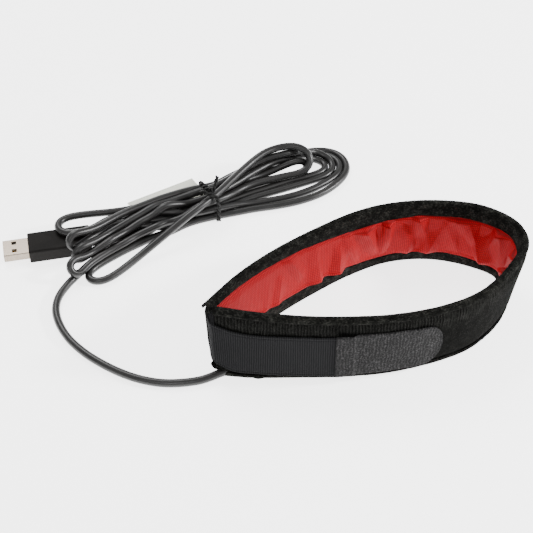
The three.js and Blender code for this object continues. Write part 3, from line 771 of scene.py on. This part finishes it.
def pile_face():
    """The outer cloth, gathered under the top seam and a little over the bottom one."""
    stations = spread(0, LENGTH, 1500)
    z = np.concatenate([[3.1, 3.5], spread(4.4, 33.2, 30), [34.2, 34.8, 35.1]])
    wander = 1.2 * smooth_noise((len(stations),), (70,), rng)[:, None]
    phase = 2 * math.pi * (stations[:, None] + wander + 0.03 * (z - 34)) / GATHER_PITCH
    depth = 0.6 + 0.4 * smooth_noise((len(stations), len(z)), (110, 4), rng)
    reach = 23 + 3.5 * smooth_noise((len(stations),), (50,), rng)[:, None]
    gather = np.clip((z - reach) / 8, 0, 1) * np.clip((35.0 - z) / 0.8, 0, 1)
    low_gather = 0.35 * np.clip((9 - z) / 4, 0, 1) * np.clip((z - 3.6) / 0.8, 0, 1)
    ribs = GATHER_DEPTH * np.sin(phase) * (gather + low_gather) * depth
    soft = 0.22 * smooth_noise((len(stations), len(z)), (80, 5), rng)
    face = looked_up(z, PILE_FACE)
    front = face + ribs + soft * (face > 1.4)
    inner_z = np.array([34.9, 19, 3.1])
    heights = np.concatenate([z, inner_z])[None] + 0 * stations[:, None]
    outs = np.concatenate([front, np.full((len(stations), 3), 0.75)], axis=1)
    made = strip_layer("pile_face", stations, heights, outs, FINISHES["loop_pile"])
    return dress(made, "loop_pile", "outer_fabric")


pile_face()


def lining_folds(stations, z):
    """How far the slack lining stands inwards: broad waves and creases from both seams."""
    draw = np.random.default_rng(23)
    slack = looked_up(stations, LINING_SLACK)
    share = (z - 5) / 28
    deep = 0.8 * smooth_noise((len(stations), len(z)), (24, 2), draw) + 0.3
    deep += 0.25 * smooth_noise((len(stations), len(z)), (75, 4), draw)
    at = 8.0
    while at < LENGTH - 12:
        lean, width = draw.uniform(-14, 18), draw.uniform(3.5, 9)
        depth, from_top = draw.uniform(1.8, 4.2), draw.random() < 0.5
        x = (stations[:, None] - at - lean * (share[None] - 0.5)) / width
        fade = np.clip(1.25 - 1.25 * ((1 - share) if from_top else share), 0, 1)[None]
        deep += depth * fade * np.maximum(0, 1 - np.abs(x)) ** 1.4
        deep -= 0.6 * depth * fade * bulge((x - 1.1) * 1.3)
        at += draw.uniform(7.0, 16)
    ends = np.clip((z - 5) / 3.5, 0, 1) * np.clip((33.5 - z) / 2.5, 0, 1)
    return 0.3 * ends[None] + np.maximum(deep, -0.1) * slack[:, None] * ends[None]


def lining_face():
    """The lining, flat under the tapes' edges and slack between them."""
    stations = spread(1.5, LENGTH - 4.5, 1150)
    z = np.concatenate([[3.1, 4.6], spread(5.4, 33.0, 42), [33.9, 34.9]])
    folds = lining_folds(stations, z)
    rest = looked_up(z, LINING_FACE)
    reach_low = looked_up(stations, BOTTOM_REACH)[:, None]
    reach_high = HEIGHT - looked_up(stations, TOP_REACH)[:, None]
    free = np.clip((z[None] - reach_low + 0.6) / 1.2, 0, 1)
    free = free * np.clip((reach_high - z[None] + 0.4) / 1.2, 0, 1)
    puff = 0.45 + 0.45 * smooth_noise((len(stations), 1), (70, 1), rng)
    over = puff * bulge((z[None] - reach_low - 0.6) / 1.6)
    face = np.where(free > 0, -1.2 + free * (rest + 1.2) - free * folds - over, -1.15)
    heights = np.concatenate([z, z[::-1]])[None] + 0 * stations[:, None]
    outs = np.concatenate([face, face[:, ::-1] + 0.3], axis=1)
    made = strip_layer("lining_cloth", stations, heights, outs, FINISHES["lining"])
    return dress(made, "lining", "lining")


lining = lining_face()


# Nap: short fibres that stand out of the two tapes

def nap(name, slot, count, place, length, width):
    """So many thin pointed fibres, each a triangle that leans its own way."""
    draw = np.random.default_rng(len(name))
    root, out_way = place(draw, count)
    lean = draw.normal(size=(count, 3))
    way = out_way + 0.75 * lean / np.linalg.norm(lean, axis=1)[:, None]
    way /= np.linalg.norm(way, axis=1)[:, None]
    side = np.cross(way, draw.normal(size=(count, 3)))
    side *= (width / 2 / np.linalg.norm(side, axis=1))[:, None]
    reach = (length * draw.uniform(0.4, 1.0, count))[:, None]
    tip = root + way * reach
    tip[:, 2] = np.maximum(tip[:, 2], 0.05)
    points = np.stack([root - side, root + side, tip], axis=1).reshape(-1, 3)
    faces = np.arange(3 * count).reshape(-1, 3).tolist()
    uvs = np.repeat(draw.random((count, 2)), 3, axis=0)
    return dress(make_mesh(name, points, faces, uvs, FINISHES[slot]), slot)


def tape_roots(top):
    """Where the fibres of a tape stand, and which way is out of it."""
    def place(draw, count):
        s = draw.uniform(0, LENGTH, count)
        angle = draw.uniform(-0.25, math.pi + 0.25, count)
        rise, out = np.sin(angle), np.cos(angle)
        low = np.where(draw.random(count) < 0.25, draw.uniform(0, 2.2, count), 0)
        rise_mm = rise * HALF - HALF - low
        z = HEIGHT + rise_mm if top else -rise_mm
        z = np.maximum(z, 0.15)
        root = on_strip(s, z, out * HALF)
        flat = on_strip(s, z, out * HALF + 1) - root
        up = 1 if top else -1
        way = flat * out[:, None] + np.outer(np.maximum(rise, 0) * up, (0, 0, 1))
        return root, way
    return place


nap("top_nap", "binding", 26000, tape_roots(True), 0.55, 0.07)
nap("bottom_nap", "binding", 12000, tape_roots(False), 0.5, 0.07)


# Elastic strap and hook tab

ELASTIC_WIDTH, ELASTIC_END, ELASTIC_TAIL = 24.6, 61.5, 12.0
ELASTIC_HALF, TAB_HALF = 0.5, 0.6
TAB_LENGTH, TAB_WIDTH, TAB_NOSE, TAB_LAP = 42.1, 25.8, 10.5, 7.3
# How far the tab lies further out where it laps over the elastic.
LAP_LIFT = 1.3
# How round the tab's corners are: 2 is an ellipse, and more is squarer.
NOSE_POWER = 2.3
STRAP_OUT = STRIP_HALF + GAP + ELASTIC_HALF


def strap_low(s):
    return 3.3 + 1.4 * np.clip((40 - s) / 20, 0, 1) + 4.6 * np.exp(-np.maximum(s, 0) / 4.5)


def strap_high(s):
    drawn_in = 0.9 * np.clip((30 - s) / 15, 0, 1)
    return 3.6 + ELASTIC_WIDTH - drawn_in + 4 * np.exp(-np.maximum(s, 0) / 7)


def strap_edge(z):
    """An edge of the strap, from its sewn-in tail round the sharp end and along the front."""
    return [
        on_strip(LENGTH - ELASTIC_TAIL, z(0), -0.1), on_strip(LENGTH - 5, z(0), -0.1),
        on_strip(LENGTH + 0.5, z(0), -0.1), on_strip(-3.1, z(0), -0.3), on_strip(-2.3, z(0), 1.5),
        on_strip(-0.9, z(0), STRAP_OUT), on_strip(1.2, z(1.2), STRAP_OUT + 0.3),
        *(on_strip(s, z(s), STRAP_OUT) for s in spread(4, ELASTIC_END, 12)),
    ]


def elastic_strap():
    """The ribbed elastic with its thin selvedges, and its length."""
    low, at = catmull(strap_edge(strap_low), 0.25)
    high, high_at = catmull(strap_edge(strap_high), 0.25)
    u = np.linspace(0, at[-1], 430)
    take = lambda line, own: np.column_stack([np.interp(u, own, line[:, k]) for k in range(3)])
    a, b = take(low, at), take(high, high_at)
    way = np.gradient(a, axis=0) + np.gradient(b, axis=0)
    side = np.column_stack([way[:, 1], -way[:, 0]])
    side /= np.linalg.norm(side, axis=1)[:, None]
    side = np.column_stack([side, np.zeros(len(side))])
    edge = np.array([0, 0.25, 0.6, 1.1, 1.35, 1.6, 2.0])
    v = np.concatenate([edge, spread(2.6, ELASTIC_WIDTH - 2.6, 34), (ELASTIC_WIDTH - edge)[::-1]])
    from_edge = np.minimum(v, ELASTIC_WIDTH - v)
    half = np.interp(from_edge, edge, [0.2, 0.42, 0.5, 0.5, 0.3, 0.46, 0.5])
    soft = 0.16 * smooth_noise((len(u), len(v)), (18, 3), rng)[..., None] * side[:, None]
    share = (v / ELASTIC_WIDTH)[None, :, None]
    middle = a[:, None] * (1 - share) + b[:, None] * share + soft
    thick = side[:, None] * half[None, :, None]
    grid = np.concatenate([middle + thick, (middle - thick)[:, ::-1]], axis=1)
    run = lengths((a + b) / 2)
    uvs = np.stack(np.broadcast_arrays(run[:, None], np.concatenate([v, v[::-1]])[None]), axis=-1)
    made = ring_mesh("strap", grid, FINISHES["elastic"], uvs * MM)
    return dress(made, "elastic", "elastic_strap"), run[-1]


strap, strap_run = elastic_strap()


def hook_tab():
    """The hook tape, with a rounded nose and a rough face."""
    start, nose_at = ELASTIC_END - TAB_LAP, TAB_LAP + TAB_LENGTH - TAB_NOSE
    nose = TAB_NOSE * np.sin(spread(0.03, 0.985, 46)[1:] * 1.5)
    d = np.concatenate([spread(0, nose_at, 190), nose_at + nose])
    past = np.maximum(0, d - nose_at) / TAB_NOSE
    half = TAB_WIDTH / 2 * (1 - past ** NOSE_POWER) ** (1 / NOSE_POWER)
    mid = strap_low(ELASTIC_END) + ELASTIC_WIDTH / 2 + 1.5
    lift = np.clip((d - TAB_LAP - 0.4) / 2.2, 0, 1)
    out = STRIP_HALF + GAP + TAB_HALF + LAP_LIFT * (1 - lift * lift * (3 - 2 * lift))
    v = np.concatenate([[-1, -0.985], np.linspace(-0.96, 0.96, 60), [0.985, 1]])
    z = mid + half[:, None] * v
    thin = np.interp(np.abs(v), [0, 0.955, 0.985, 1], [0.6, 0.6, 0.45, 0.2])[None]
    hooks = 0.09 * rng.uniform(-1, 1, (len(d), len(v))) * (np.abs(v) < 0.95)
    wave = 0.22 * smooth_noise((len(d), len(v)), (9, 3), rng)
    edge = 0.12 * smooth_noise((len(d), 1), (60, 1), rng) * np.abs(v) ** 8
    s = (start + d)[:, None]
    front = on_strip(s, z + edge, out[:, None] + thin + hooks + wave)
    back = on_strip(s, z + edge, out[:, None] - thin + wave)[:, ::-1]
    across = np.concatenate([v, v[::-1]])[None] * half[:, None]
    uvs = np.stack(np.broadcast_arrays(d[:, None], across), axis=-1) * MM
    made = ring_mesh("tab", np.concatenate([front, back], axis=1), FINISHES["hook_tape"], uvs)
    return dress(made, "hook_tape", "hook_tab")


tab = hook_tab()


# Floor and light

def stage():
    floor_finish = Finish("floor", Roughness=0.9)
    floor_finish.set("Base Color", (0.9, 0.9, 0.9))
    floor_finish.set("Emission Color", (1, 1, 1))
    floor_finish.set("Emission Strength", 3.0)
    mesh = bpy.data.meshes.new("floor")
    corners = [(-3, -3, 0), (3, -3, 0), (3, 3, 0), (-3, 3, 0)]
    mesh.from_pydata(corners, [], [(0, 1, 2, 3)])
    mesh.materials.append(floor_finish.material)
    floor = bpy.data.objects.new("floor", mesh)
    bpy.context.scene.collection.objects.link(floor)
    world = bpy.data.worlds.new("studio")
    world.use_nodes = True
    world.node_tree.nodes["Background"].inputs["Color"].default_value = (1, 1, 1, 1)
    world.node_tree.nodes["Background"].inputs["Strength"].default_value = 0.8
    bpy.context.scene.world = world
    for name, at, power, size in (
        ("back_light", (-0.15, 0.75, 0.95), 9, 0.5),
        ("side_light", (0.85, -0.25, 0.5), 15, 0.12),
        ("front_light", (-0.4, -0.8, 0.9), 4, 0.5),
    ):
        data = bpy.data.lights.new(name, "AREA")
        data.energy, data.size = power, size
        lamp = bpy.data.objects.new(name, data)
        lamp.location = at
        lamp.rotation_mode = "QUATERNION"
        lamp.rotation_quaternion = Vector(at).to_track_quat("Z", "Y")
        bpy.context.scene.collection.objects.link(lamp)


stage()
